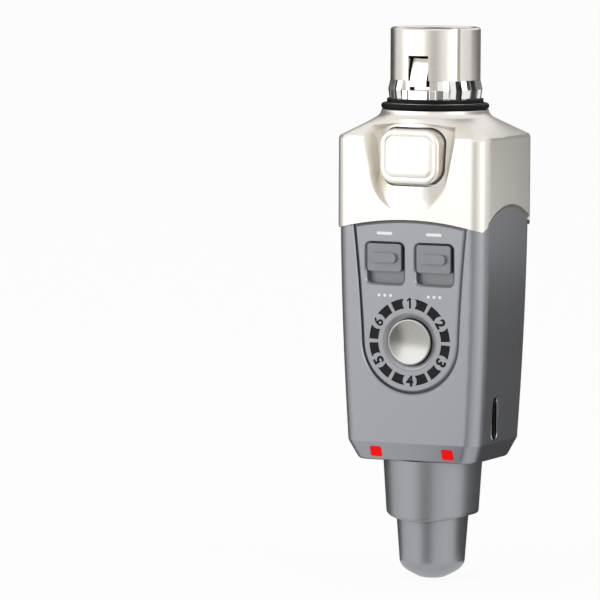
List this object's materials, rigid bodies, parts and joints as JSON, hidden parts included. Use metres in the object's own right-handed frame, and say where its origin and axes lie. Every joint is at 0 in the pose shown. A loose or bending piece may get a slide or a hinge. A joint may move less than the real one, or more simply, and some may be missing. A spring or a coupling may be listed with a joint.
{
  "type": "plug-on wireless audio transmitter",
  "caption": "Hand-sized plug-on radio transmitter: female 3-pole connector nose with release latch, tapered two-tone body, slide switches, channel dial button and antenna tail.",
  "frame": {"origin": "centre of the connector nose's tip, on the nose's axis", "axes": "+Z out of the nose along its axis, the control panel faces -Y, +X to the right seen from the front"},
  "size_m": [0.0288, 0.0239, 0.0982],
  "materials": {
    "satin_nickel": "satin, warm nickel",
    "chrome": "bright plated",
    "spring_steel": "bright spring steel",
    "nickel_nut": "plain nickel",
    "champagne": "satin champagne metallic",
    "grey_body": "satin mid-grey metallic",
    "black_plastic": "moulded black",
    "rubber": "black",
    "gold_contact": "gold plated",
    "satin_button": "satin, dished",
    "smoke_lens": "smoked, glossy",
    "red_lens": "clear red",
    "circuit_board": "solder resist",
    "lamp": "lamp body",
    "tin_plate": "tinned sheet",
    "steel": "machined",
    "frame_plastic": "moulded dark grey",
    "cell_wrap": "shrink film",
    "foam": "closed-cell foam"
  },
  "bodies": {
    "housing": {"antenna_board": "circuit_board", "audio_board": "circuit_board", "base_cap": "grey_body", "battery": "cell_wrap", "battery_pad": "foam", "board_chips": "black_plastic", "board_link": "black_plastic", "board_screws": "steel", "button_bezel": "black_plastic", "channel_leds": "lamp", "channel_lens": "smoke_lens", "charge_socket": "chrome", "charge_tongue": "black_plastic", "contact_1": "gold_contact", "contact_2": "gold_contact", "contact_3": "gold_contact", "control_panel": "grey_body", "ground_ring": "chrome", "inner_frame": "frame_plastic", "latch_pin": "spring_steel", "latch_spring": "spring_steel", "lower_housing": "grey_body", "main_board": "circuit_board", "nose_insert": "black_plastic", "nose_nut": "nickel_nut", "nose_shell": "satin_nickel", "radio_chip": "black_plastic", "rear_screws": "steel", "rf_shield": "tin_plate", "seal_disc": "black_plastic", "seal_ring": "rubber", "slide_switch_left": "black_plastic", "slide_switch_right": "black_plastic", "status_leds": "lamp", "status_lenses": "red_lens", "tact_switch": "black_plastic", "tail_cap": "grey_body", "tail_sleeve": "grey_body", "upper_housing": "champagne"},
    "latch_button": {"latch_button": "champagne"},
    "latch_lever": {"latch_lever": "spring_steel"},
    "left_slider": {"slider_left": "grey_body"},
    "right_slider": {"slider_right": "grey_body"},
    "channel_button": {"channel_button": "satin_button", "button_plunger": "frame_plastic"}
  },
  "joints": [
    {"name": "latch_button_press", "type": "slide", "parent": "housing", "child": "latch_button", "axis": [0, 1, 0], "range_m": [0, 0.0007], "stiffness_N_per_m": 900, "springref_m": -0.0008},
    {"name": "latch_lever_tilt", "type": "hinge", "parent": "housing", "child": "latch_lever", "pos_m": [0, -0.0055, -0.03], "axis": [-1, 0, 0], "range_deg": [0, 5.06], "deforming": ["latch_spring"]},
    {"name": "left_switch_slide", "type": "slide", "parent": "housing", "child": "left_slider", "axis": [0, 0.0256, -0.9997], "range_m": [0, 0.0019]},
    {"name": "right_switch_slide", "type": "slide", "parent": "housing", "child": "right_slider", "axis": [0, 0.0256, -0.9997], "range_m": [0, 0.0019]},
    {"name": "channel_button_press", "type": "slide", "parent": "housing", "child": "channel_button", "axis": [0, 1, 0], "range_m": [0, 0.0004], "stiffness_N_per_m": 1200, "springref_m": -0.0006}
  ],
  "couplings": [
    {"joint": "latch_lever_tilt", "follows": "latch_button_press", "rad_per_m": 125}
  ]
}
